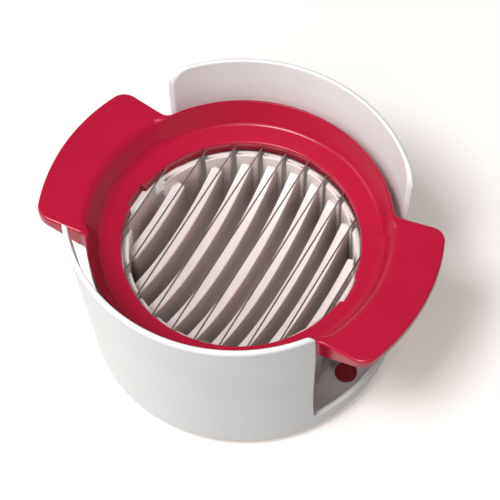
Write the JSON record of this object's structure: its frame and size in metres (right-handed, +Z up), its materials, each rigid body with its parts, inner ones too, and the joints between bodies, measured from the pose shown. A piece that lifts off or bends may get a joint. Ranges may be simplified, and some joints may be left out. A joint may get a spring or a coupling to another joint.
{
  "type": "egg slicer",
  "caption": "Round egg slicer: an open white cup with a slatted cradle, and a red ring cutter strung with wires that is pushed down by two wings.",
  "frame": {"origin": "on the table, on the axis of the round cup", "axes": "+Z up along the cup's axis, X through the two wings, Y along the wires"},
  "size_m": [0.1168, 0.1, 0.062],
  "materials": {
    "cup_plastic": "satin white moulded plastic",
    "cradle_plastic": "satin white moulded plastic",
    "cutter_plastic": "glossy red moulded plastic",
    "foot_rubber": "matt dark red rubber",
    "wire_steel": "drawn stainless wire"
  },
  "bodies": {
    "base": {"cup": "cup_plastic", "cradle": "cradle_plastic", "foot_1": "foot_rubber", "foot_2": "foot_rubber", "foot_3": "foot_rubber", "foot_4": "foot_rubber"},
    "cutter": {"cutter_frame": "cutter_plastic", "clamp_ring": "cutter_plastic", "wire_01": "wire_steel", "wire_02": "wire_steel", "wire_03": "wire_steel", "wire_04": "wire_steel", "wire_05": "wire_steel", "wire_06": "wire_steel", "wire_07": "wire_steel", "wire_08": "wire_steel", "wire_09": "wire_steel", "wire_10": "wire_steel"}
  },
  "joints": [
    {"name": "cutter_press", "type": "slide", "parent": "base", "child": "cutter", "axis": [0, 0, 1], "range_m": [-0.0314, 0.045]}
  ]
}
